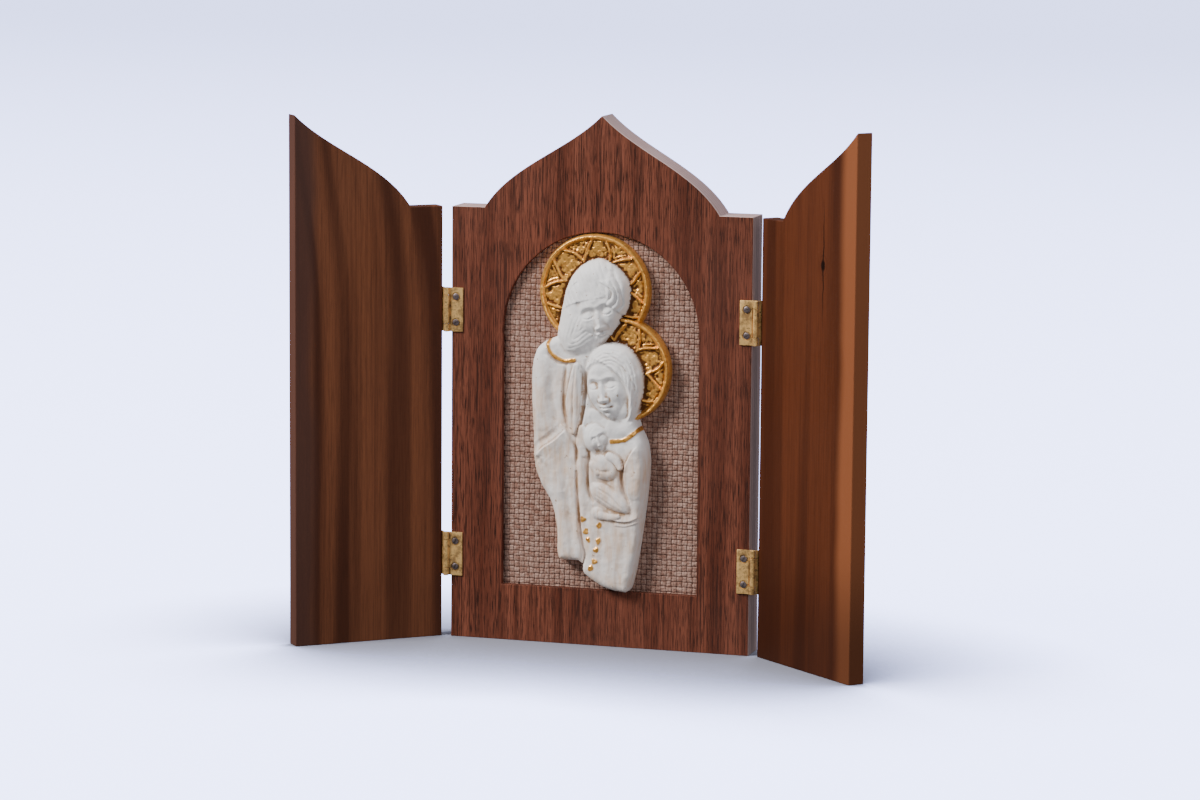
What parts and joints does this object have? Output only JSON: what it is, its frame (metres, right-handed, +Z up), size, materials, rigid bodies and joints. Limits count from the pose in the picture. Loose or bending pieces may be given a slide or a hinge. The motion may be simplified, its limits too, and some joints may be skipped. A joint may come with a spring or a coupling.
{
  "type": "triptych altarpiece",
  "caption": "Small hinged wooden triptych with an arched ogee panel, a cast plaster holy family relief on woven cloth, and two folding wings.",
  "frame": {"origin": "on the underside of the centre panel, midway between its sides and its faces", "axes": "+X to the viewer's right, +Y towards the back, +Z up"},
  "size_m": [0.3332, 0.0784, 0.3],
  "materials": {
    "frame_veneer": "open-pored reddish brown veneer, satin",
    "ply_core": "stained plywood edge, matte",
    "left_wing_wood": "dark brown striped softwood, satin",
    "right_wing_wood": "orange brown softwood with a knot, satin",
    "woven_cloth": "coarse basket weave",
    "plaster": "matte off-white plaster, gilt halos and collars",
    "hinge_brass": "aged brass",
    "screw_steel": "dull dark steel"
  },
  "bodies": {
    "centre_panel": {"centre_back_board": "ply_core", "centre_front_frame": "frame_veneer", "cloth_panel": "woven_cloth", "holy_family_relief": "plaster", "lower_left_hinge_panel_leaf": "hinge_brass", "lower_left_hinge_pin": "hinge_brass", "lower_left_hinge_panel_screw_lower": "screw_steel", "lower_left_hinge_panel_screw_upper": "screw_steel", "upper_left_hinge_panel_leaf": "hinge_brass", "upper_left_hinge_pin": "hinge_brass", "upper_left_hinge_panel_screw_lower": "screw_steel", "upper_left_hinge_panel_screw_upper": "screw_steel", "lower_right_hinge_panel_leaf": "hinge_brass", "lower_right_hinge_pin": "hinge_brass", "lower_right_hinge_panel_screw_lower": "screw_steel", "lower_right_hinge_panel_screw_upper": "screw_steel", "upper_right_hinge_panel_leaf": "hinge_brass", "upper_right_hinge_pin": "hinge_brass", "upper_right_hinge_panel_screw_lower": "screw_steel", "upper_right_hinge_panel_screw_upper": "screw_steel"},
    "left_wing": {"left_wing": "left_wing_wood", "lower_left_hinge_wing_leaf": "hinge_brass", "lower_left_hinge_wing_screw_lower": "screw_steel", "lower_left_hinge_wing_screw_upper": "screw_steel", "upper_left_hinge_wing_leaf": "hinge_brass", "upper_left_hinge_wing_screw_lower": "screw_steel", "upper_left_hinge_wing_screw_upper": "screw_steel"},
    "right_wing": {"right_wing": "right_wing_wood", "lower_right_hinge_wing_leaf": "hinge_brass", "lower_right_hinge_wing_screw_lower": "screw_steel", "lower_right_hinge_wing_screw_upper": "screw_steel", "upper_right_hinge_wing_leaf": "hinge_brass", "upper_right_hinge_wing_screw_lower": "screw_steel", "upper_right_hinge_wing_screw_upper": "screw_steel"}
  },
  "joints": [
    {"name": "left_hinge", "type": "hinge", "parent": "centre_panel", "child": "left_wing", "pos_m": [-0.0903, -0.0117, 0.118], "axis": [0, 0, 1], "range_deg": [-54, 131]},
    {"name": "right_hinge", "type": "hinge", "parent": "centre_panel", "child": "right_wing", "pos_m": [0.0903, -0.0117, 0.118], "axis": [0, 0, -1], "range_deg": [-54, 131]}
  ]
}
